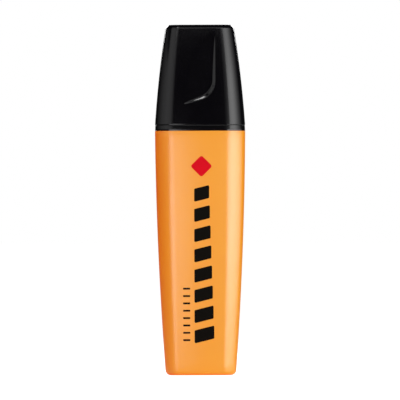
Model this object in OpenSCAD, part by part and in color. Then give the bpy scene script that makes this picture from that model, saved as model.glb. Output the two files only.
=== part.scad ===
// Flat-bodied highlighter pen with a pull-off cap, standing on its rear end with the cap on top.
// X is the width, Y the thickness (the front face looks to -Y) and Z the length.
// Every outer shell is a loft of one cross-section: two broad faces with a slight crown, two narrow
// sides and four round corners. Width, thickness and corner radius follow a convex curve that starts
// at the joint between barrel and cap and runs down to the rear end and up to the cap's top.

/* [Overall] */
// Length from the rear end to the top of the cap
total_len = 105; // [101:0.5:112]
// Length of the cap outside
cap_len = 30; // [29:0.5:33]
// Height of the dark collar that shows between barrel and cap
collar_h = 1.7; // [0.8:0.1:3]

/* [Body] */
// Width at the joint between barrel and cap
joint_w = 27.1; // [26:0.1:30]
// Thickness at the joint
joint_t = 17; // [16.6:0.1:19]
// Corner radius at the joint
joint_r = 6.2; // [5:0.1:7]
// Width at the rear end
rear_w = 21; // [20.6:0.1:24]
// Thickness at the rear end
rear_t = 13.6; // [13.2:0.1:16]
// Corner radius at the rear end
rear_r = 4.2; // [3:0.1:5.5]
// Radius of the edge round the rear end
rear_edge_r = 1.4; // [0.6:0.1:2]
// Radius of the crown of the broad faces
crown_r = 110; // [80:5:300]
// Wall of the barrel and of the cap
wall = 1.5; // [1.2:0.1:1.6]

/* [Cap] */
// Width at the top of the cap
top_w = 20.3; // [18:0.1:24]
// Thickness at the top of the cap
top_t = 11.4; // [11.2:0.1:14]
// Corner radius at the top of the cap
top_r = 4.6; // [3:0.1:5]
// Height of the bevel round the top
bevel_h = 0.85; // [0.4:0.05:1.2]
// Width of the bevel round the top
bevel_w = 0.65; // [0.3:0.05:1.2]
// Width of the thumb scoop in the broad faces
scoop_w = 9.2; // [6:0.1:11]
// Fall of the scoop's floor from its upper to its lower right corner
scoop_depth = 0.6; // [0.3:0.05:0.7]
// Slant of the scoop's lower end, in degrees
scoop_slant = 15.6; // [5:0.1:30]
// Slope of the scoop's walls, in degrees
scoop_slope = 35; // [25:1:60]

/* [Nib] */
// Width of the nib, which is the broad line it draws
nib_w = 5; // [4:0.1:5.2]
// Thickness of the nib
nib_t = 3.6; // [2.5:0.1:3.8]
// Thickness of the chisel edge, which is the fine line it draws
nib_edge = 1.6; // [0.8:0.1:2]
// Length of the nib outside the nose
nib_reach = 5.6; // [4.5:0.1:5.8]

/* [Reservoir] */
// Width of the oval fibre reservoir
reservoir_w = 17; // [14:0.1:17.2]
// Thickness of the reservoir
reservoir_t = 9.4; // [7:0.1:9.6]
// Thickness of the film round the reservoir
film = 0.2; // [0.1:0.05:0.25]
// Outer diameter of the breather tube
breather_d = 1.8; // [1.4:0.1:2.2]

/* [Hidden] */

// Number of steps round a corner, across a broad face and round an edge
corner_steps = 8;
face_steps = 4;
edge_steps = 4;

// Gaps: the cap's mouth above the collar, the cap round the neck, the plug in the barrel,
// the seal in the inner cap and the breather tube in its channel
mouth_gap = 0.1;
neck_gap = 0.3;
plug_gap = 0.05;
seal_gap = 0.08;
tube_gap = 0.05;

// How far a cutter reaches past the faces that it cuts
cut = 1;

// Heights
joint_z = total_len - cap_len;
collar_top = joint_z - mouth_gap;
barrel_top = collar_top - collar_h;
floor_h = 1.8;
standoff_h = 1.2;
reservoir_z = floor_h + standoff_h;
plug_len = 12;
plug_z = barrel_top - plug_len;
deck_z = joint_z + 8;
deck_h = 1.4;
land_z = deck_z + 1.4;
land_top = land_z + 4;
nose_top = deck_z + 8;
nib_tip = nose_top + nib_reach;
nib_tail = barrel_top - 7.5;
reservoir_top = barrel_top - 0.5;
ceiling_h = 1.6;
ceiling_z = total_len - ceiling_h;

// Slopes that lead the walls into the barrel's floor and the cap's ceiling
floor_edge = 0.8;
ceiling_edge = 0.6;

// Pads on the barrel's floor: radius, distance apart and depth that they reach into the floor
pad_r = 1.2;
pad_pitch = 5;
pad_sink = 0.4;

// How straight each side starts at the joint: the rest of its curve is a parabola
barrel_lean = 0.165;
cap_lean = 0.58;

// The cap's mouth stands a little inside the collar
cap_set_in = 0.04;
edge_break = 0.2;

// Front section
plug_wall = 1.3;
snap_h = 0.15;
snap_z = joint_z + 2.6;
snap_run = 0.8;
neck_edge_r = 0.8;
nose_base_r = 5.6;
nose_base_h = 0.5;
nose_sink = 0.4;
nose_edge = 0.4;
land_r = 4.8;
nose_tip_r = 4.15;
guide_r = 4.6;
guide_z = barrel_top + 0.5;
vent_d = 1.2;
vent_y = nib_t / 2 + 0.1;

// Nib: height of its edge's low corner above the nose, fall of the edge and length of its pointed tail
nib_heel = 1.4;
nib_slant = nib_reach - nib_heel;
nib_shoulder = nib_tip - nib_slant - 1;
nib_point = 2;

// Inner cap: its wall, its lid and the lead-in of its mouth
liner_wall = 0.65;
liner_lid = 0.9;
lead_w = 0.3;
lead_h = 0.4;
chamber_r = 3.5;
liner_mouth_z = land_z + 0.4;
liner_step_z = nose_top + 0.5;
chamber_z = liner_step_z + 2;
liner_top = ceiling_z - 1;
socket_z = ceiling_z - 4;
socket_wall = 1;
socket_sink = 0.6;

// Place of the breather tube's axis, in a channel along the back of the core
breather_x = (reservoir_w - reservoir_t) / 2;
breather_y = reservoir_t / 2 - breather_d / 2 - 2 * tube_gap;
breather_wall = 0.3;

// Scoop: depth of its shallow corners, radius of its lower right corner, its lower and upper end, and
// how far its cutter reaches to the left, where the floor runs out of the face, and in front
scoop_sink = 0.15;
scoop_r = 6;
scoop_low_z = joint_z + 7.5;
scoop_high_z = total_len - 3;
cutter_left = scoop_w / 2 + 3;
cutter_lift = 2;

// Cross-sections as [half width, half thickness, corner radius]
joint_section = [joint_w / 2, joint_t / 2, joint_r];
rear_section = [rear_w / 2, rear_t / 2, rear_r];
top_section = [top_w / 2, top_t / 2, top_r];

// Convex curve from 0 to 1
function belly(s, lean) = lean * s + (1 - lean) * s * s;

// Section of the whole pen's outside at the height z
function section(z) = z < joint_z
    ? joint_section + (rear_section - joint_section) * belly(1 - z / joint_z, barrel_lean)
    : joint_section + (top_section - joint_section) * belly((z - joint_z) / cap_len, cap_lean);

// The same section, smaller by d all round
function inset(s, d) = [s[0] - d, s[1] - d, max(s[2] - d, 0.8)];

// Upper half of the outline, from the right side over the back face to the left side.
// The face's arc meets the two corner arcs where they have the same tangent.
function half_outline(s) =
    let (cx = s[0] - s[2], face_y = s[1] - crown_r)
    let (cy = face_y + sqrt(pow(crown_r - s[2], 2) - cx * cx), tilt = asin(cx / (crown_r - s[2])))
    let (turn = (90 - tilt) / corner_steps)
    concat(
        [for (i = [0:corner_steps]) [cx + s[2] * cos(i * turn), cy + s[2] * sin(i * turn)]],
        [for (i = [1:face_steps - 1]) let (a = tilt * (1 - 2 * i / face_steps))
            [crown_r * sin(a), face_y + crown_r * cos(a)]],
        [for (i = [0:corner_steps]) let (a = 90 + tilt + i * turn)
            [s[2] * cos(a) - cx, cy + s[2] * sin(a)]]);

function outline(s) = let (half = half_outline(s)) concat(half, [for (p = half) -p]);

// One closed ring of the loft
function ring(z, s) = [for (p = outline(s)) [p[0], p[1], z]];

// Rings of the outside, d inside it, from z0 to z1 in n steps
function side_rings(z0, z1, n, d) =
    [for (i = [0:n]) let (z = z0 + (z1 - z0) * i / n) ring(z, inset(section(z), d))];

// Rings round an edge of radius r whose flat face is at z; up is 1 where the face looks up
function edge_rings(z, r, up, d) =
    [for (i = [0:edge_steps]) let (a = 90 * (up > 0 ? edge_steps - i : i) / edge_steps)
        let (h = z - up * r * (1 - cos(a)))
        ring(h, inset(section(h), d + r * (1 - sin(a))))];

// Closed solid through a list of rings, flat at both ends
module loft(rings) {
    n = len(rings[0]);
    last = (len(rings) - 1) * n;
    polyhedron(
        points = [for (r = rings) each r],
        faces = concat(
            [[for (j = [0:n - 1]) j]],
            [for (i = [0:len(rings) - 2], j = [0:n - 1])
                let (k = (j + 1) % n, low = i * n, high = low + n)
                each [[low + j, high + j, high + k], [low + j, high + k, low + k]]],
            [[for (j = [n - 1:-1:0]) last + j]]));
}

// Oval of the reservoir, d larger all round
module oval(d) {
    r = reservoir_t / 2 + d;
    offset_x = (reservoir_w - reservoir_t) / 2;
    for (side = [-1, 1])
        translate([side * offset_x, 0])
            circle(r, $fn = 64);
    square([2 * offset_x, 2 * r], center = true);
}

// Rectangular bar on the axis from z0 to z1
module bar(w, t, z0, z1) {
    translate([-w / 2, -t / 2, z0])
        cube([w, t, z1 - z0]);
}

// One-piece cup, closed and rounded at the rear, with low pads that hold the reservoir off its floor
module barrel() {
    color([1.0, 0.58, 0.18]) union() {
        loft(concat(
            edge_rings(0, rear_edge_r, -1, 0),
            side_rings(rear_edge_r + 1, barrel_top, 12, 0),
            side_rings(barrel_top, plug_z, 3, wall),
            side_rings(plug_z - 0.5, floor_h + 1, 8, wall),
            [ring(floor_h, inset(section(floor_h), wall + floor_edge))]));
        for (i = [-1:1])
            translate([i * pad_pitch, 0, floor_h - pad_sink])
                cylinder(h = standoff_h + pad_sink, r = pad_r, $fn = 32);
    }
}

// Dark front: plug pressed into the barrel, collar, oval neck for the cap and round nose for the nib
module front_section() {
    color([0.07, 0.07, 0.08]) difference() {
        union() {
            loft(concat(
                [ring(deck_z - deck_h, inset(section(deck_z - deck_h), wall + neck_gap + plug_wall))],
                side_rings(joint_z, plug_z, 4, wall + plug_gap + plug_wall),
                side_rings(plug_z, barrel_top, 3, wall + plug_gap),
                side_rings(barrel_top, collar_top - edge_break, 1, 0),
                [ring(collar_top, inset(section(collar_top), edge_break))],
                [ring(collar_top, inset(section(collar_top), wall + neck_gap))],
                [ring(snap_z - snap_run, inset(section(snap_z - snap_run), wall + neck_gap))],
                [ring(snap_z, inset(section(snap_z), wall + neck_gap - snap_h))],
                side_rings(snap_z + snap_run, deck_z - neck_edge_r - 0.3, 2, wall + neck_gap),
                edge_rings(deck_z, neck_edge_r, 1, wall + neck_gap)));
            nose();
        }
        bar(nib_w, nib_t, guide_z - cut, nose_top + cut);
        for (side = [-1, 1])
            translate([0, side * vent_y, guide_z - cut])
                cylinder(h = nose_top - guide_z + 2 * cut, d = vent_d, $fn = 24);
    }
}

// Round nose with the sealing land, and the guide tube that holds the nib below it
module nose() {
    rotate_extrude($fn = 96)
        polygon([
            [0, guide_z], [guide_r, guide_z], [guide_r, deck_z - nose_sink],
            [nose_base_r, deck_z - nose_sink], [nose_base_r, deck_z + nose_base_h],
            [land_r, land_z], [land_r, land_top], [nose_tip_r, nose_top - nose_edge],
            [nose_tip_r - nose_edge, nose_top], [0, nose_top]]);
}

// Fibre nib: a bar with a slanted chisel edge in front and a pointed tail in the reservoir
module nib() {
    color([0.95, 0.62, 0.2]) intersection() {
        bar(nib_w, nib_t, nib_tail, nib_tip);
        rotate([90, 0, 0])
            linear_extrude(nib_t + 2, center = true)
                polygon([
                    [-nib_w / 2, nib_tip], [-nib_w / 2, nib_tail + nib_point], [-nib_w / 4, nib_tail],
                    [nib_w / 4, nib_tail], [nib_w / 2, nib_tail + nib_point],
                    [nib_w / 2, nib_tip - nib_slant]]);
        rotate([90, 0, 90])
            linear_extrude(nib_w + 2, center = true)
                polygon([
                    [-nib_t / 2, nib_tail], [nib_t / 2, nib_tail], [nib_t / 2, nib_shoulder],
                    [nib_edge / 2, nib_tip], [-nib_edge / 2, nib_tip], [-nib_t / 2, nib_shoulder]]);
    }
}

// Fibre core that stores the ink, with the nib's pocket and the breather's channel
module reservoir_core() {
    color([1.0, 0.5, 0.15]) difference() {
        translate([0, 0, reservoir_z])
            linear_extrude(reservoir_top - reservoir_z)
                oval(0);
        bar(nib_w, nib_t, nib_tail, reservoir_top + cut);
        translate([breather_x, breather_y, reservoir_z - cut])
            cylinder(h = reservoir_top - reservoir_z + 2 * cut, r = breather_d / 2 + tube_gap, $fn = 32);
    }
}

// Clear film round the core
module reservoir_film() {
    color([0.92, 0.93, 0.95]) translate([0, 0, reservoir_z])
        linear_extrude(reservoir_top - reservoir_z)
            difference() {
                oval(film);
                oval(0);
            }
}

// Thin tube that lets air in below as ink leaves
module breather_tube() {
    color([0.9, 0.9, 0.88]) translate([breather_x, breather_y, reservoir_z])
        difference() {
            cylinder(h = reservoir_top - reservoir_z, d = breather_d, $fn = 32);
            translate([0, 0, -cut])
                cylinder(h = reservoir_top - reservoir_z + 2 * cut, d = breather_d - 2 * breather_wall,
                         $fn = 32);
        }
}

// Outline of the scoop's cutter seen from the front, as [x, z, direction outwards]: upright sides,
// and a slanted lower end that runs into the right side in a large arc
function scoop_outline() =
    let (arc_x = scoop_w / 2 - scoop_r)
    let (arc_z = scoop_low_z + arc_x * tan(scoop_slant) + scoop_r / cos(scoop_slant))
    concat(
        [[scoop_w / 2, scoop_high_z, [1, 0]], [-cutter_left, scoop_high_z, [-1, 0]],
         [-cutter_left, scoop_low_z - cutter_left * tan(scoop_slant),
             [sin(scoop_slant), -cos(scoop_slant)]]],
        [for (i = [0:corner_steps]) let (a = (90 - scoop_slant) * (i / corner_steps - 1))
            [arc_x + scoop_r * cos(a), arc_z + scoop_r * sin(a), [cos(a), sin(a)]]]);

// Depth of the scoop's floor, which falls to the right and downwards
function scoop_floor(x, z) = scoop_sink
    + scoop_depth * (0.5 + x / scoop_w - (z - scoop_low_z) / (scoop_high_z - scoop_low_z));

// Distance of the cap's broad face from the middle plane, taken as straight along the scoop
function scoop_face(z) =
    let (low = section(scoop_low_z)[1], high = section(scoop_high_z)[1])
    low + (high - low) * (z - scoop_low_z) / (scoop_high_z - scoop_low_z);

// Point of the sloping wall that runs through the outline's point p, the distance d outside it
function scoop_wall(p, d) = [p[0] + d * p[2][0], p[1] + d * p[2][1]];

// Where the wall meets the floor: how far inside the outline's point p
function scoop_foot(p) =
    let (climb = scoop_floor(p[0] + p[2][0], p[1] + p[2][1]) - scoop_floor(p[0], p[1]))
    scoop_floor(p[0], p[1]) / (tan(scoop_slope) + climb);

// Cutter of the scoop in the front face
module scoop() {
    loft([
        [for (p = scoop_outline()) let (q = scoop_wall(p, -scoop_foot(p)))
            [q[0], scoop_floor(q[0], q[1]) - scoop_face(q[1]), q[1]]],
        [for (p = scoop_outline()) let (q = scoop_wall(p, cutter_lift / tan(scoop_slope)))
            [q[0], -cutter_lift - scoop_face(q[1]), q[1]]]]);
}

// Closed outer cap with a thumb scoop in each broad face and a socket in its top for the inner cap
module cap() {
    socket_r = chamber_r + liner_wall;
    color([0.05, 0.05, 0.06]) union() {
        difference() {
            loft(concat(
                [ring(ceiling_z, inset(section(ceiling_z), wall + ceiling_edge))],
                side_rings(ceiling_z - ceiling_edge, joint_z, 8, wall),
                [ring(joint_z, inset(section(joint_z), cap_set_in + edge_break))],
                side_rings(joint_z + edge_break, total_len - bevel_h, 8, cap_set_in),
                [ring(total_len, inset(section(total_len), cap_set_in + bevel_w))]));
            for (turn = [0, 180])
                rotate([0, 0, turn])
                    scoop();
        }
        translate([0, 0, socket_z])
            difference() {
                cylinder(h = ceiling_z - socket_z + socket_sink, r = socket_r + socket_wall, $fn = 64);
                translate([0, 0, -cut])
                    cylinder(h = ceiling_z - socket_z + cut, r = socket_r, $fn = 64);
            }
    }
}

// Round liner inside the cap: its mouth seals on the nose's land, its chamber keeps the nib moist
module inner_cap() {
    mouth_r = land_r + seal_gap;
    color([0.2, 0.2, 0.22]) rotate_extrude($fn = 96)
        polygon([
            [mouth_r + lead_w, liner_mouth_z], [mouth_r + liner_wall, liner_mouth_z],
            [mouth_r + liner_wall, liner_step_z], [chamber_r + liner_wall, chamber_z],
            [chamber_r + liner_wall, liner_top], [0, liner_top], [0, liner_top - liner_lid],
            [chamber_r, liner_top - liner_lid], [chamber_r, chamber_z], [mouth_r, liner_step_z],
            [mouth_r, liner_mouth_z + lead_h]]);
}

barrel();
front_section();
nib();
reservoir_core();
reservoir_film();
breather_tube();
cap();
inner_cap();
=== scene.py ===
import math

import bpy
import numpy as np
from mathutils import Matrix, Vector


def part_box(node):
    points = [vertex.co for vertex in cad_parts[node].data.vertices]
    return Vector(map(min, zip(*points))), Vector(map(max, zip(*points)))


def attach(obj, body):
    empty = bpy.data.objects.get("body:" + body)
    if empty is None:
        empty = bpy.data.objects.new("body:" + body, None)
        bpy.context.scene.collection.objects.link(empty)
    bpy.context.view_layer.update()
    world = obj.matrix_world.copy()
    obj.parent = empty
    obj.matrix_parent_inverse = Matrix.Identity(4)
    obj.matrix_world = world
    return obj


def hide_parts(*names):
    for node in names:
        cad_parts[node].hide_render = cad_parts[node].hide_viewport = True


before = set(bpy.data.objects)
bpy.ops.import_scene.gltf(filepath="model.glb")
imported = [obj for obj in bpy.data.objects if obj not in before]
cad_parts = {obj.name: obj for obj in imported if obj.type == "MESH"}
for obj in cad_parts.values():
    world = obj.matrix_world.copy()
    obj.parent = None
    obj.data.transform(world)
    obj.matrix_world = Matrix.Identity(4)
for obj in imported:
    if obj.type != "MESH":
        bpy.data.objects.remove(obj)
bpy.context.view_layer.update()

# Sizes below are in millimetres, in the frame's own directions: X across the broad face, -Y out of
# the front face, Z up to the cap. M turns them into metres.
M = 0.001


def box_mm(node):
    """Lowest and highest corner of a CAD node."""
    low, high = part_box(node)
    return np.array(low) / M, np.array(high) / M


BARREL_LOW, BARREL_HIGH = box_mm("barrel")
CAP_LOW, CAP_HIGH = box_mm("cap")
FRONT_LOW, FRONT_HIGH = box_mm("front_section")
NIB_LOW, NIB_HIGH = box_mm("nib")
LINER_TOP = box_mm("inner_cap")[1][2]

# Heights of the cap's mouth, of the pen's top and of the barrel's upper end
JOINT_Z = CAP_LOW[2]
TOTAL_Z = CAP_HIGH[2]
BARREL_TOP = BARREL_HIGH[2]

# Sections of the pen at its joint, rear end and top, as half width, half thickness and corner radius,
# with crowned broad faces. With a lean of 1 the sides run straight between them, with 0 as a parabola.
JOINT = np.array([*(BARREL_HIGH - BARREL_LOW)[:2] / 2, 6.2])
REAR = np.array([10.5, 6.8, 4.2])
TOP = np.array([10.15, 5.7, 4.6])
CROWN_R = 110.0
BARREL_LEAN, CAP_LEAN = 0.165, 0.58
LEAST_CORNER_R = 0.8

# Mould's parting ridge along the narrow sides: its height, a quarter of its width, and the share of the
# height that is left there
SEAM_H, SEAM_QUARTER, SEAM_SHARE = 0.03, 0.14, 0.25

# Barrel: walls, how far in the flat middle of its rear end begins, and the rounding of its edges
WALL = 1.5
FLOOR_T, REAR_FLAT = 1.8, 4.5
REAR_EDGE, LIP_EDGE, BORE_EDGE, FLOOR_EDGE = 1.4, 0.08, 0.1, 0.8

# Front section: collar, neck with its snap bead, plug in the barrel and deck that carries the nose
COLLAR_TOP = JOINT_Z - 0.1
COLLAR_INSET, COLLAR_DRAFT, COLLAR_FOOT = 0.02, 0.09, 0.06
COLLAR_BEVEL_H, COLLAR_BEVEL_TILT, COLLAR_BEVEL_EDGE = 0.1, math.radians(12), 0.02
NECK_INSET, NECK_ROOT = WALL + 0.3, 0.1
SNAP_Z, SNAP_H, SNAP_RUN = JOINT_Z + 2.6, 0.15, 0.8
SNAP_FOOT, SNAP_CREST = 0.3, 0.5
PLUG_INSET, PLUG_WALL, PLUG_DRAFT = WALL + 0.05, 1.3, 0.3
PLUG_Z, PLUG_EDGE, PLUG_BORE_EDGE = FRONT_LOW[2], 0.4, 0.2
NOSE_TOP = FRONT_HIGH[2]
DECK_Z, DECK_H, DECK_FLAT = NOSE_TOP - 8, 1.4, 2.5
DECK_EDGE, DECK_ROOT = 0.8, 0.4

# Nose: guide tube under the deck, flared foot and sealing land at heights above the deck, cone and tip
# at drops from the nose's end, and the vents beside the nib
GUIDE_Z, GUIDE_R = BARREL_TOP + 0.5, 4.6
FOOT_SINK = 0.5
FOOT_R, FOOT_EDGE_R, FLARE_R = 5.6, 5.45, 4.9
FOOT_H, FOOT_EDGE_H, FLARE_H = 0.3, 0.6, 1.2
LAND_R, LAND_LOW, LAND_HIGH = 4.8, 1.5, 5.4
CONE_R, TIP_EDGE_R, TIP_R = 4.15, 4.0, 3.8
CONE_DROP, TIP_EDGE_DROP = 0.5, 0.15
VENT_R, VENT_OUT = 0.6, 0.1

# Nib: a bar of fibre with a narrower heel, which thins above its shoulder to a slanted chisel edge. Its
# skin is how far it lies inside the CAD nib.
NIB_W, NIB_T = (NIB_HIGH - NIB_LOW)[:2]
NIB_HEEL, NIB_TIP = NIB_LOW[2], NIB_HIGH[2]
NIB_SLANT = NIB_TIP - NOSE_TOP - 1.4
NIB_SHOULDER = NIB_TIP - NIB_SLANT - 1
NIB_EDGE_T, NIB_EDGE_R = 1.6, 0.3
NIB_CORNER_R, NIB_SKIN = 0.35, 0.02
HEEL_H, HEEL_SHARE = 2, 0.5

# Cap: how far it is set in from the collar, where the flat middle of its ends begins, its mouth, the
# bevel round its top and its ceiling
CAP_INSET, CAP_FLAT = 0.04, 4.0
MOUTH_H, MOUTH_EDGE, MOUTH_BORE_EDGE = 0.5, 0.08, 0.15
TOP_BEVEL_H, TOP_BEVEL_W, TOP_BEVEL_FOOT, TOP_BEVEL_EDGE = 0.85, 0.65, 0.6, 0.3
CEILING_Z, CEILING_EDGE = TOTAL_Z - 1.6, 0.6

# Socket under the cap's ceiling that holds the inner cap
SOCKET_R, SOCKET_WALL, SOCKET_Z = 4.18, 1.0, LINER_TOP - 3
SOCKET_SINK, SOCKET_EDGE = 0.3, 0.2

# Thumb scoop in each broad face of the cap: outline, floor, walls, and the softness of its foot and
# rim. The last line is the heights and the depth of skin that it may move.
SCOOP_W, SCOOP_R, SCOOP_SLANT = 9.2, 6.0, math.radians(15.6)
SCOOP_LOW, SCOOP_HIGH = JOINT_Z + 7.5, TOTAL_Z - 3
SCOOP_SINK, SCOOP_DEPTH, SCOOP_SLOPE = 0.15, 0.6, math.radians(35)
SCOOP_FOOT, SCOOP_RIM = 0.12, 0.04
SCOOP_FROM, SCOOP_TO, SCOOP_SKIN = SCOOP_LOW - 4, TOTAL_Z - 1, 0.5

# Print on the barrel's front face: bars that widen downwards, ticks and a diamond
INK_T, INK_RINGS, INK_STEP = 0.02, 6, 0.5
PRINT_LEFT, PRINT_LOW = -1.85, 10.3
BAR_COUNT, BAR_W, BAR_SPREAD, BAR_H, BAR_PITCH = 8, 4.5, 1.4, 3.9, 6.03
BAR_SLANT = math.radians(14)
TICK_X, TICK_W, TICK_H, TICK_PITCH = -4.2, 2.1, 0.55, 2.2
DIAMOND_X, DIAMOND_Z, DIAMOND_R = 0.35, 62.6, 3.3
BAR_EDGE, TICK_EDGE, DIAMOND_EDGE = 0.35, 0.12, 0.7

# Edges between faces that meet at more than this angle are drawn sharp
SHARP = math.radians(40)

WHITE = (1, 1, 1, 1)


# ---------------------------------------------------------------- shell geometry

def belly(s, lean):
    """Share of the change from one section to the next at the share s of the height between them."""
    return lean * s + (1 - lean) * s * s


def section(z):
    """Half width, half thickness and corner radius of the whole outside at the height z."""
    if z < JOINT_Z:
        return JOINT + (REAR - JOINT) * belly(1 - z / JOINT_Z, BARREL_LEAN)
    return JOINT + (TOP - JOINT) * belly((z - JOINT_Z) / (TOTAL_Z - JOINT_Z), CAP_LEAN)


def inset(s, d):
    """The section s moved in by d."""
    return np.array([s[0] - d, s[1] - d, max(s[2] - d, LEAST_CORNER_R)])


def half_outline(s, corner, face, seam):
    """Right side's corner, back face, left side's corner and left side; the other half is its negative."""
    a, b, r = s
    cx, crown_y = a - r, b - CROWN_R
    cy = crown_y + math.sqrt((CROWN_R - r) ** 2 - cx * cx)
    tilt = math.asin(cx / (CROWN_R - r))
    turn = (math.pi / 2 - tilt) / corner
    points = [(cx + r * math.cos(i * turn), cy + r * math.sin(i * turn)) for i in range(corner + 1)]
    for i in range(1, face):
        t = tilt * (1 - 2 * i / face)
        points.append((CROWN_R * math.sin(t), crown_y + CROWN_R * math.cos(t)))
    start = math.pi / 2 + tilt
    points += [(r * math.cos(start + i * turn) - cx, cy + r * math.sin(start + i * turn))
               for i in range(corner + 1)]
    ridge = [(2, 0), (1, SEAM_SHARE), (0, 1), (-1, SEAM_SHARE), (-2, 0)]
    return points + [(-a - seam * share, SEAM_QUARTER * quarter) for quarter, share in ridge]


def outline(s, corner=16, face=24, seam=0.0):
    """Outline of a section, with a number of steps in each corner and face and a parting ridge."""
    half = half_outline(s, corner, face, seam)
    return half + [(-x, -y) for x, y in half]


def rounded(path, steps=6):
    """Points of a path of (inset or x, z, radius) corners, with each corner rounded by its radius."""
    out = [path[0][:2]]
    for before, here, after in zip(path, path[1:], path[2:]):
        p = Vector(here[:2])
        into, away = (Vector(before[:2]) - p).normalized(), (Vector(after[:2]) - p).normalized()
        angle = into.angle(away)
        r = here[2]
        if r == 0:
            out.append(tuple(p))
            continue
        reach = r / math.tan(angle / 2)
        centre = p + (into + away).normalized() * r / math.sin(angle / 2)
        first, last = p + into * reach - centre, p + away * reach - centre
        sweep = first.angle_signed(last)
        for i in range(steps + 1):
            arm = first.copy()
            arm.rotate(Matrix.Rotation(-sweep * i / steps, 2))
            out.append(tuple(centre + arm))
    out.append(path[-1][:2])
    return out


def divided(path, step):
    """The path with its long rises cut to at most a step in height, so that they follow the curve."""
    out = [path[0]]
    for (d0, z0), (d1, z1) in zip(path, path[1:]):
        n = max(1, math.ceil(abs(z1 - z0) / step))
        out += [(d0 + (d1 - d0) * i / n, z0 + (z1 - z0) * i / n) for i in range(1, n + 1)]
    return out


def mesh_object(name, verts, faces, material):
    """Object of points in millimetres, shaded smooth between its sharp edges."""
    mesh = bpy.data.meshes.new(name)
    mesh.from_pydata([tuple(c * M for c in v) for v in verts], [], faces)
    mesh.validate()
    mesh.polygons.foreach_set("use_smooth", [True] * len(mesh.polygons))
    mesh.set_sharp_from_angle(angle=SHARP)
    mesh.materials.append(material)
    ob = bpy.data.objects.new(name, mesh)
    bpy.context.scene.collection.objects.link(ob)
    return ob


def loft(name, rings, material):
    """Closed solid through rings of equal length, with a flat face at each end."""
    n, rows = len(rings[0]), len(rings)
    verts = [p for ring in rings for p in ring]
    faces = [tuple(range(n - 1, -1, -1)), tuple((rows - 1) * n + j for j in range(n))]
    for i in range(rows - 1):
        for j in range(n):
            k = (j + 1) % n
            faces.append((i * n + j, i * n + k, (i + 1) * n + k, (i + 1) * n + j))
    return mesh_object(name, verts, faces, material)


def shell(name, path, material, shift=None, **detail):
    """Loft of the pen's section along a path of (inset, z); shift(point, inset) can move its points."""
    rings = []
    for d, z in path:
        ring = [Vector((x, y, z)) for x, y in outline(inset(section(z), d), **detail)]
        rings.append([shift(p, d) for p in ring] if shift else ring)
    return loft(name, rings, material)


def turned(name, profile, material, steps=96):
    """Closed solid round the pen's axis through (radius, z); a radius may be a function of direction."""
    n = len(profile)
    verts = []
    for a in (2 * math.pi * i / steps for i in range(steps)):
        for radius, z in profile:
            r = radius(a) if callable(radius) else radius
            verts.append((r * math.cos(a), r * math.sin(a), z))
    faces = []
    for i in range(steps):
        for j in range(n):
            a, b, k = i * n, (i + 1) % steps * n, (j + 1) % n
            faces.append((a + j, b + j, b + k, a + k))
    return mesh_object(name, verts, faces, material)


# ---------------------------------------------------------------- materials

# Noises, in cells a metre: flow of colour, uneven gloss, moulded skin and strands of fibre; the ends of
# the colour's flow, and the depths of the bumps
FLOW_SCALE, GLOSS_SCALE, SKIN_SCALE, STRAND_SCALE = 90, 260, 2200, 4500
FLOW_LOW, FLOW_HIGH = 0.35, 0.65
SKIN_BUMP, STRAND_BUMP = 0.2, 0.1

# Shade of the darkest and the palest strand, and the height over which gloss turns to satin
STRAND_DARK, STRAND_PALE = 0.72, 1.1
SATIN_RUN = 0.02


def connect(tree, shader_node, inputs):
    """Gives each socket of a node a value of its own or another node's output."""
    for key, value in inputs.items():
        if isinstance(value, bpy.types.NodeSocket):
            tree.links.new(value, shader_node.inputs[key])
        else:
            shader_node.inputs[key].default_value = value


def add_node(tree, kind, inputs=None, **settings):
    """New shader node, with what its sockets take and its own settings."""
    shader_node = tree.nodes.new("ShaderNode" + kind)
    for key, value in settings.items():
        setattr(shader_node, key, value)
    connect(tree, shader_node, inputs or {})
    return shader_node


def noise(tree, place, scale, detail):
    texture = add_node(tree, "TexNoise", {"Vector": place, "Scale": scale, "Detail": detail})
    return texture.outputs["Fac"]


def ramp(tree, value, *stops):
    """Colour that goes from the first of two (position, colour) stops to the second as a value rises."""
    blend = add_node(tree, "ValToRGB", {"Fac": value})
    for stop, (position, colour) in zip(blend.color_ramp.elements, stops):
        stop.position = position
        stop.color = (*[min(c, 1.0) for c in colour], 1)
    return blend.outputs["Color"]


def shade(colour, share):
    return [c * share for c in colour]


def new_material(name):
    mat = bpy.data.materials.new(name)
    mat.use_nodes = True
    return mat, mat.node_tree, mat.node_tree.nodes["Principled BSDF"]


def plastic(name, colour, roughness, spread=0.04, grain=0.02, tint=0.04, **sockets):
    """Moulded plastic: faint colour flow, uneven gloss and a fine skin texture."""
    mat, tree, bsdf = new_material(name)
    place = add_node(tree, "TexCoord").outputs["Object"]
    flow = noise(tree, place, FLOW_SCALE, detail=3)
    gloss = add_node(tree, "MapRange", {
        "Value": noise(tree, place, GLOSS_SCALE, detail=4),
        "To Min": roughness - spread, "To Max": roughness + spread})
    skin = add_node(tree, "Bump", {
        "Height": noise(tree, place, SKIN_SCALE, detail=2), "Strength": grain, "Distance": SKIN_BUMP * M})
    dark, pale = (FLOW_LOW, shade(colour, 1 - tint)), (FLOW_HIGH, shade(colour, 1 + tint))
    connect(tree, bsdf, {
        "Base Color": ramp(tree, flow, dark, pale),
        "Roughness": gloss.outputs["Result"],
        "Normal": skin.outputs["Normal"]})
    connect(tree, bsdf, {key.replace("_", " "): value for key, value in sockets.items()})
    return mat


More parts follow.
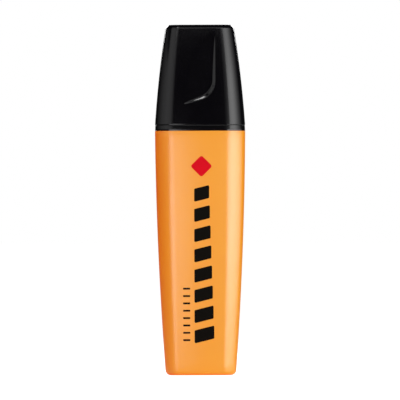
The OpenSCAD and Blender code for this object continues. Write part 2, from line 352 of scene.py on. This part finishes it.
def satin_above(mat, z, extra):
    """Makes the material rougher above the height z, as a moulded face with a fine grain is."""
    tree = mat.node_tree
    bsdf = tree.nodes["Principled BSDF"]
    gloss = bsdf.inputs["Roughness"].links[0].from_socket
    place = add_node(tree, "TexCoord").outputs["Object"]
    height = add_node(tree, "SeparateXYZ", {"Vector": place}).outputs["Z"]
    step = add_node(tree, "MapRange", {
        "Value": height, "From Min": (z - SATIN_RUN) * M, "From Max": z * M, "To Max": extra})
    total = add_node(tree, "Math", {0: gloss, 1: step.outputs["Result"]}, operation="ADD")
    connect(tree, bsdf, {"Roughness": total.outputs["Value"]})


def fibre(name, colour, stretch):
    """Bonded fibre: streaks along the pen, soft and rough."""
    mat, tree, bsdf = new_material(name)
    place = add_node(tree, "TexCoord").outputs["Object"]
    along = add_node(tree, "Mapping", {"Vector": place, "Scale": (1, 1, stretch)})
    streak = noise(tree, along.outputs["Vector"], STRAND_SCALE, detail=3)
    strands = add_node(tree, "Bump", {"Height": streak, "Strength": 0.5, "Distance": STRAND_BUMP * M})
    connect(tree, bsdf, {
        "Base Color": ramp(tree, streak, (0, shade(colour, STRAND_DARK)), (1, shade(colour, STRAND_PALE))),
        "Roughness": 0.85,
        "Sheen Weight": 0.25,
        "Normal": strands.outputs["Normal"]})
    return mat


# Orange plastic with a painted glow: its red-orange emission keeps the barrel bright red where shade
# falls, under any light.
ORANGE_PAINTED_GLOW = plastic("orange_plastic", (0.42, 0.335, 0.008), 0.31, spread=0.02, grain=0.05, tint=0.015,
                 IOR=1.75, Emission_Color=(1.0, 0.01, 0.0, 1), Emission_Strength=0.485)
CAP_BLACK = plastic("cap_black", (0.0012, 0.0009, 0.0018), 0.13, spread=0.02, grain=0.01, tint=0.1)
satin_above(CAP_BLACK, TOTAL_Z - 0.1, 0.45)
SECTION_BLACK = plastic("section_black", (0.0016, 0.0014, 0.002), 0.14, spread=0.02, grain=0.01, tint=0.1)
satin_above(SECTION_BLACK, COLLAR_TOP - 0.01, 0.33)
LINER_GREY = plastic("liner_grey", (0.06, 0.06, 0.065), 0.4)
TUBE_WHITE = plastic("tube_white", (0.75, 0.75, 0.7), 0.4)
FILM_CLEAR = plastic("film_clear", (0.9, 0.9, 0.92), 0.15, Alpha=0.4)
NIB_FIBRE = fibre("nib_fibre", (1.0, 0.34, 0.03), stretch=0.15)
WADDING = fibre("wadding", (0.9, 0.3, 0.04), stretch=0.05)
INK_BLACK = plastic("ink_black", (0.004, 0.003, 0.002), 0.5, grain=0.03, Specular_IOR_Level=0.04)
INK_RED = plastic("ink_red", (0.7, 0.004, 0.014), 0.5, grain=0.03, Specular_IOR_Level=0.04)


# ---------------------------------------------------------------- pieces

def make_barrel():
    """One-piece cup, closed at its rear."""
    path = rounded([
        (REAR_FLAT, 0, 0), (0, 0, REAR_EDGE), (0, BARREL_TOP, LIP_EDGE),
        (WALL, BARREL_TOP, BORE_EDGE), (WALL, FLOOR_T, FLOOR_EDGE), (REAR_FLAT, FLOOR_T, 0)])
    ob = shell("barrel_shell", divided(path, step=2.0), ORANGE_PAINTED_GLOW, face=32, corner=20, seam=SEAM_H)
    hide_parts("barrel")
    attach(ob, "pen")


def soft_min(a, b, soft):
    """The lower of two values, with the crease between them rounded."""
    return (a + b - math.hypot(a - b, soft)) / 2


def inside_scoop(x, z):
    """Distance inside the scoop's outline: its right side, slanted lower end and the arc between."""
    arc_x = SCOOP_W / 2 - SCOOP_R
    arc_z = SCOOP_LOW + arc_x * math.tan(SCOOP_SLANT) + SCOOP_R / math.cos(SCOOP_SLANT)
    dx, dz = x - arc_x, z - arc_z
    if dz < 0 < dx * math.cos(SCOOP_SLANT) + dz * math.sin(SCOOP_SLANT):
        return SCOOP_R - math.hypot(dx, dz)
    return SCOOP_R - max(dx, dx * math.sin(SCOOP_SLANT) - dz * math.cos(SCOOP_SLANT))


def scoop_depth(x, z):
    """Depth of the scoop: a tilted floor with a sloping wall at its right side and its lower end."""
    climb = (z - SCOOP_LOW) / (SCOOP_HIGH - SCOOP_LOW)
    low, high = section(SCOOP_LOW)[1], section(SCOOP_HIGH)[1]
    floor_y = low + (high - low) * climb - SCOOP_SINK - SCOOP_DEPTH * (0.5 + x / SCOOP_W - climb)
    floor = section(z)[1] - x * x / (2 * CROWN_R) - floor_y
    wall = inside_scoop(x, z) * math.tan(SCOOP_SLOPE)
    return -soft_min(-soft_min(floor, wall, SCOOP_FOOT), 0.0, SCOOP_RIM)


def with_scoop(p, d):
    """A point of the cap at an inset d, moved in if it is part of the skin where a scoop lies."""
    if d > SCOOP_SKIN or not SCOOP_FROM < p.z < SCOOP_TO:
        return p
    front = p.y < 0
    depth = scoop_depth(p.x if front else -p.x, p.z)
    return p + Vector((0, depth if front else -depth, 0))


def make_cap():
    """Shell, cut finely on its outside to carry the scoops, and the socket under its ceiling."""
    inner = rounded([
        (CAP_FLAT, CEILING_Z, 0), (WALL, CEILING_Z, CEILING_EDGE), (WALL, JOINT_Z, MOUTH_BORE_EDGE),
        (CAP_INSET, JOINT_Z, MOUTH_EDGE), (CAP_INSET, JOINT_Z + MOUTH_H, 0)])
    outer = rounded([
        (CAP_INSET, JOINT_Z + MOUTH_H, 0), (CAP_INSET, TOTAL_Z - TOP_BEVEL_H, TOP_BEVEL_FOOT),
        (CAP_INSET + TOP_BEVEL_W, TOTAL_Z, TOP_BEVEL_EDGE), (CAP_FLAT, TOTAL_Z, 0)])
    path = divided(inner, step=3.0)[:-1] + divided(outer, step=0.16)
    ob = shell("cap_shell", path, CAP_BLACK, shift=with_scoop, face=110, corner=18, seam=SEAM_H)
    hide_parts("cap")
    rim, root = SOCKET_R + SOCKET_WALL, CEILING_Z + SOCKET_SINK
    socket = turned("cap_socket", [
        (SOCKET_R, root), (SOCKET_R, SOCKET_Z + SOCKET_EDGE), (SOCKET_R + SOCKET_EDGE, SOCKET_Z),
        (rim - SOCKET_EDGE, SOCKET_Z), (rim, SOCKET_Z + SOCKET_EDGE), (rim, root)], CAP_BLACK)
    for piece in (ob, socket):
        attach(piece, "cap")


def slot_rim(a):
    """Distance from the axis to the rim of the nib's slot and its two vents, in the direction a."""
    across, deep = abs(math.cos(a)), abs(math.sin(a))
    rim = 1 / max(across / (NIB_W / 2), deep / (NIB_T / 2))
    vent = NIB_T / 2 + VENT_OUT
    reach = VENT_R ** 2 - (vent * across) ** 2
    return max(rim, vent * deep + math.sqrt(reach)) if reach > 0 else rim


def make_front_section():
    """Plug, collar, neck and deck as one shell, and the round nose that holds the nib."""
    bore, collar = PLUG_INSET + PLUG_WALL, COLLAR_INSET + COLLAR_DRAFT
    path = rounded([
        (bore + DECK_FLAT, DECK_Z - DECK_H, 0), (bore + PLUG_DRAFT, DECK_Z - DECK_H, DECK_ROOT),
        (bore, PLUG_Z, PLUG_BORE_EDGE), (PLUG_INSET, PLUG_Z, PLUG_EDGE), (PLUG_INSET, BARREL_TOP, 0),
        (COLLAR_INSET, BARREL_TOP, COLLAR_FOOT), (collar, COLLAR_TOP - COLLAR_BEVEL_H, COLLAR_BEVEL_EDGE),
        (collar + COLLAR_BEVEL_H * math.tan(COLLAR_BEVEL_TILT), COLLAR_TOP, COLLAR_BEVEL_EDGE),
        (NECK_INSET, COLLAR_TOP, NECK_ROOT), (NECK_INSET, SNAP_Z - SNAP_RUN, SNAP_FOOT),
        (NECK_INSET - SNAP_H, SNAP_Z, SNAP_CREST), (NECK_INSET, SNAP_Z + SNAP_RUN, SNAP_FOOT),
        (NECK_INSET, DECK_Z, DECK_EDGE), (NECK_INSET + DECK_FLAT, DECK_Z, 0)])
    ob = shell("front_section_body", divided(path, step=1.5), SECTION_BLACK)
    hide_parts("front_section")
    nose = turned("front_section_nose", [
        (slot_rim, GUIDE_Z), (GUIDE_R, GUIDE_Z), (GUIDE_R, DECK_Z - FOOT_SINK),
        (FOOT_R, DECK_Z - FOOT_SINK), (FOOT_R, DECK_Z + FOOT_H), (FOOT_EDGE_R, DECK_Z + FOOT_EDGE_H),
        (FLARE_R, DECK_Z + FLARE_H), (LAND_R, DECK_Z + LAND_LOW), (LAND_R, DECK_Z + LAND_HIGH),
        (CONE_R, NOSE_TOP - CONE_DROP), (TIP_EDGE_R, NOSE_TOP - TIP_EDGE_DROP), (TIP_R, NOSE_TOP),
        (slot_rim, NOSE_TOP)], SECTION_BLACK)
    for piece in (ob, nose):
        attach(piece, "pen")


def nib_ring(climb, d, drop, steps=6):
    """Ring of the nib, inset by d: climb goes from the level shoulder (0) up to the slanted edge (1)."""
    points = []
    for quarter, (right, back) in enumerate([(1, 1), (-1, 1), (-1, -1), (1, -1)]):
        for i in range(steps + 1):
            a = math.radians(90 * quarter + 90 * i / steps)
            x = right * (NIB_W / 2 - NIB_CORNER_R) + (NIB_CORNER_R - d) * math.cos(a)
            top = NIB_TIP - NIB_SLANT * (x / NIB_W + 0.5)
            z = NIB_SHOULDER + climb * (top - NIB_SHOULDER) - drop
            taper = max(0.0, (z - NIB_SHOULDER) / (NIB_TIP - NIB_SHOULDER))
            half = NIB_T / 2 + (NIB_EDGE_T - NIB_T) / 2 * taper
            y = back * (half - NIB_CORNER_R) + (NIB_CORNER_R - d) * math.sin(a)
            points.append((x, y, z))
    return points


def make_nib():
    """Fibre nib: a bar with soft edges that thins towards its slanted chisel edge."""
    tail = [[(x * share, y * share, z) for x, y, _ in nib_ring(0, NIB_SKIN, 0)]
            for share, z in ((HEEL_SHARE, NIB_HEEL), (1.0, NIB_HEEL + HEEL_H))]
    body = [nib_ring(i / 8, NIB_SKIN, 0) for i in range(6)]
    for i in range(6):
        a = math.radians(90 * i / 5)
        body.append(nib_ring(1, NIB_SKIN + NIB_EDGE_R * (1 - math.cos(a)), NIB_EDGE_R * (1 - math.sin(a))))
    ob = loft("nib_chisel", tail + body, NIB_FIBRE)
    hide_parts("nib")
    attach(ob, "pen")


def face_y(x, z):
    """Where the barrel's front face lies."""
    return CROWN_R - section(z)[1] - math.sqrt(CROWN_R ** 2 - x * x)


def rounded_outline(corners, radius):
    """Closed outline with its corners rounded and its sides cut into short steps, as a list of (x, z)."""
    path = [(x, z, radius) for x, z in corners]
    points = rounded([path[-1]] + path + [path[0]], steps=5)[1:-1]
    out = []
    for (x0, z0), (x1, z1) in zip(points, points[1:] + points[:1]):
        n = math.ceil(math.hypot(x1 - x0, z1 - z0) / INK_STEP)
        out += [(x0 + (x1 - x0) * i / n, z0 + (z1 - z0) * i / n) for i in range(n)]
    return out


def printed(name, centre, edge, material):
    """Thin film of ink on the barrel's front face, filled from its centre out to a star-shaped edge."""
    n = len(edge)
    skins = []
    for lift in (-INK_T, INK_T):
        flat = [centre] + [(centre[0] + x * k / INK_RINGS, centre[1] + z * k / INK_RINGS)
                           for k in range(1, INK_RINGS + 1) for x, z in edge]
        skins.append([(x, face_y(x, z) + lift, z) for x, z in flat])
    base, rim = len(skins[0]), len(skins[0]) - n
    faces = []
    for j in range(n):
        k = (j + 1) % n
        fan = [(0, 1 + j, 1 + k)]
        fan += [(ring + j, ring + n + j, ring + n + k, ring + k) for ring in range(1, rim, n)]
        faces += fan + [tuple(base + v for v in reversed(f)) for f in fan]
        faces.append((rim + j, base + rim + j, base + rim + k, rim + k))
    ob = mesh_object(name, skins[0] + skins[1], faces, material)
    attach(ob, "pen")


def slab(width, height, lean=0.0):
    """Corners of a rectangle round the origin, its right side raised by the lean and its left lowered."""
    w, h = width / 2, height / 2
    return [(-w, -h - lean), (w, -h + lean), (w, h + lean), (-w, h - lean)]


def make_print():
    """Plain decoration: a column of slanted bars, a scale of ticks beside it and a red diamond above."""
    for i in range(BAR_COUNT):
        width = BAR_W + BAR_SPREAD * (1 - i / (BAR_COUNT - 1))
        bar = slab(width, BAR_H, lean=width / 2 * math.tan(BAR_SLANT))
        printed(f"print_bar_{i + 1}", (PRINT_LEFT + width / 2, PRINT_LOW + BAR_H / 2 + i * BAR_PITCH),
                rounded_outline(bar, BAR_EDGE), INK_BLACK)
        printed(f"print_tick_{i + 1}", (TICK_X, PRINT_LOW + TICK_H / 2 + i * TICK_PITCH),
                rounded_outline(slab(TICK_W, TICK_H), TICK_EDGE), INK_BLACK)
    diamond = [(0, -DIAMOND_R), (DIAMOND_R, 0), (0, DIAMOND_R), (-DIAMOND_R, 0)]
    printed("print_diamond", (DIAMOND_X, DIAMOND_Z), rounded_outline(diamond, DIAMOND_EDGE), INK_RED)


def dress(node, material):
    """Gives a CAD node that stays a procedural material."""
    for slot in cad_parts[node].material_slots:
        slot.material = material


make_barrel()
make_cap()
make_front_section()
make_nib()
make_print()
dress("reservoir_core", WADDING)
dress("reservoir_film", FILM_CLEAR)
dress("breather_tube", TUBE_WHITE)
dress("inner_cap", LINER_GREY)


# ---------------------------------------------------------------- stage, light and camera

# Brightness of the white world as a light, and of world and floor as the camera sees them
WORLD_DIM, WORLD_SEEN = 0.02, 1.0

# Stage floor: size, roughness, a painted pool of light in its colour (paleness at the pen and beyond a
# distance from it), and its faint clouds
STAGE_R, STAGE_STEPS, STAGE_ROUGHNESS = 6000, 64, 0.25
LIGHT_POOL_R, LIGHT_POOL_PALE, STAGE_FAR = 110, 0.95, 0.5
CLOUD_SCALE, CLOUD_SHARE = 3, 0.03

# Distance of the upright lights from the pen, and the aim, direction, distance and size of the one
# overhead
STUDIO_R = 500
OVERHEAD_AIM, OVERHEAD_WAY = Vector((0, 0, 90)), Vector((-0.29, -0.34, 0.89))
OVERHEAD_FAR, OVERHEAD_W, OVERHEAD_H = 600, 130, 120

# Camera: distance, width of its view at the pen, place and turn about its own axis
CAMERA_FAR, VIEW_W = 2000, 120.1
CAMERA_X, CAMERA_Z, CAMERA_TURN = -0.1, 52.49, math.radians(0.2)


def make_stage():
    """Wide pale floor of smooth acrylic, which runs into the white behind it; its colour is palest round
    the pen, a painted pool of light.
    """
    mat, tree, bsdf = new_material("stage_acrylic")
    place = add_node(tree, "TexCoord").outputs["Object"]
    away = add_node(tree, "VectorMath", {0: place}, operation="LENGTH")
    # Painted pool of light: the floor's colour is palest at the pen and darker beyond a distance from it.
    fade = add_node(tree, "MapRange", {
        "Value": away.outputs["Value"], "From Max": LIGHT_POOL_R * M, "To Min": LIGHT_POOL_PALE, "To Max": STAGE_FAR})
    cloud = noise(tree, place, CLOUD_SCALE, detail=2)
    drift = add_node(tree, "Math", {0: cloud, 1: CLOUD_SHARE, 2: fade.outputs["Result"]},
                     operation="MULTIPLY_ADD")
    path = add_node(tree, "LightPath")
    glow = add_node(tree, "Math", {0: path.outputs["Is Camera Ray"], 1: WORLD_SEEN}, operation="MULTIPLY")
    connect(tree, bsdf, {
        "Base Color": drift.outputs["Value"],
        "Roughness": STAGE_ROUGHNESS,
        "Emission Color": WHITE,
        "Emission Strength": glow.outputs["Value"]})
    rim = [(STAGE_R * math.cos(2 * math.pi * i / STAGE_STEPS),
            STAGE_R * math.sin(2 * math.pi * i / STAGE_STEPS), 0) for i in range(STAGE_STEPS)]
    mesh_object("stage_floor", rim, [tuple(range(STAGE_STEPS))], mat)


def soft_light(name, place, aim, width, height, radiance):
    """Rectangular light, in millimetres, that faces a point; radiance is its brightness at any size."""
    light = bpy.data.lights.new(name, "AREA")
    light.shape = "RECTANGLE"
    light.size, light.size_y = width * M, height * M
    light.energy = radiance * math.pi * light.size * light.size_y
    ob = bpy.data.objects.new(name, light)
    bpy.context.scene.collection.objects.link(ob)
    ob.location = place * M
    ob.rotation_euler = (place - aim).to_track_quat("Z", "Y").to_euler()
    ob.visible_camera = False


def panel(name, azimuths, heights, radiance):
    """Upright light at the studio's edge between two azimuths, counted from the camera towards +X."""
    first, last = azimuths
    a, z = math.radians((first + last) / 2), sum(heights) / 2
    place = Vector((math.sin(a) * STUDIO_R, -math.cos(a) * STUDIO_R, z))
    width = 2 * STUDIO_R * math.tan(math.radians(last - first) / 2)
    soft_light(name, place, Vector((0, 0, z)), width, heights[1] - heights[0], radiance)


def bank(name, azimuths, heights, radiance, count, brightest, spread):
    """Row of panels side by side whose brightness fades away on both sides of one azimuth."""
    first, last = azimuths
    step = (last - first) / count
    for i in range(count):
        start = first + i * step
        fade = math.exp(-((start + step / 2 - brightest) / spread) ** 2)
        panel(f"{name}_{i + 1}", (start, start + step), heights, radiance * fade)


def make_light():
    """Low bright banks shape the barrel, tall dimmer ones above them draw the cap's edges."""
    low, middle, high, upper, tall = (0, 80), (95, 205), (205, 310), (95, 310), (80, 450)
    panel("left_low", (-36, -6.5), low, 5.8)
    bank("right_low", (18, 110), low, 8.1, count=8, brightest=40, spread=60)
    panel("centre_glow", (10.5, 19), tall, 0.18)
    panel("right_glow", (19, 30), tall, 0.45)
    bank("right_tall", (30, 110), middle, 3.8, count=10, brightest=50, spread=32)
    bank("right_high", (30, 110), high, 3.1, count=10, brightest=50, spread=32)
    panel("left_glow", (-27, -19), upper, 0.3)
    bank("left_tall", (-75, -27), upper, 0.76, count=5, brightest=-52, spread=40)
    bank("left_far", (-125, -75), (95, 210), 0.8, count=5, brightest=-52, spread=45)
    panel("left_high", (-80, -45), (330, 650), 0.7)
    panel("front_line", (-30, 30), (280, 325), 2.4)
    panel("front_high", (-20, 40), (380, 700), 0.8)
    panel("back", (150, 210), (150, 320), 6)
    soft_light("overhead_left", OVERHEAD_AIM + OVERHEAD_FAR * OVERHEAD_WAY, OVERHEAD_AIM,
               OVERHEAD_W, OVERHEAD_H, 11)


def make_world():
    """White surroundings for the camera, which hardly light the pen."""
    world = bpy.data.worlds.new("studio")
    bpy.context.scene.world = world
    world.use_nodes = True
    tree = world.node_tree
    path = add_node(tree, "LightPath")
    level = add_node(tree, "MapRange", {
        "Value": path.outputs["Is Camera Ray"], "To Min": WORLD_DIM, "To Max": WORLD_SEEN})
    connect(tree, tree.nodes["Background"], {"Color": WHITE, "Strength": level.outputs["Result"]})


def make_camera():
    """Long lens, level with the middle of the pen, turned a little as the pen leans in its picture."""
    cam = bpy.data.cameras.new("camera")
    cam.sensor_width = 36
    cam.lens = cam.sensor_width * CAMERA_FAR / VIEW_W
    cam.clip_end = 10 * CAMERA_FAR * M
    ob = bpy.data.objects.new("camera", cam)
    bpy.context.scene.collection.objects.link(ob)
    ob.location = (CAMERA_X * M, -CAMERA_FAR * M, CAMERA_Z * M)
    ob.rotation_euler = (math.pi / 2, CAMERA_TURN, 0)
    bpy.context.scene.camera = ob
    bpy.context.scene.view_settings.view_transform = "Standard"


make_stage()
make_light()
make_world()
make_camera()
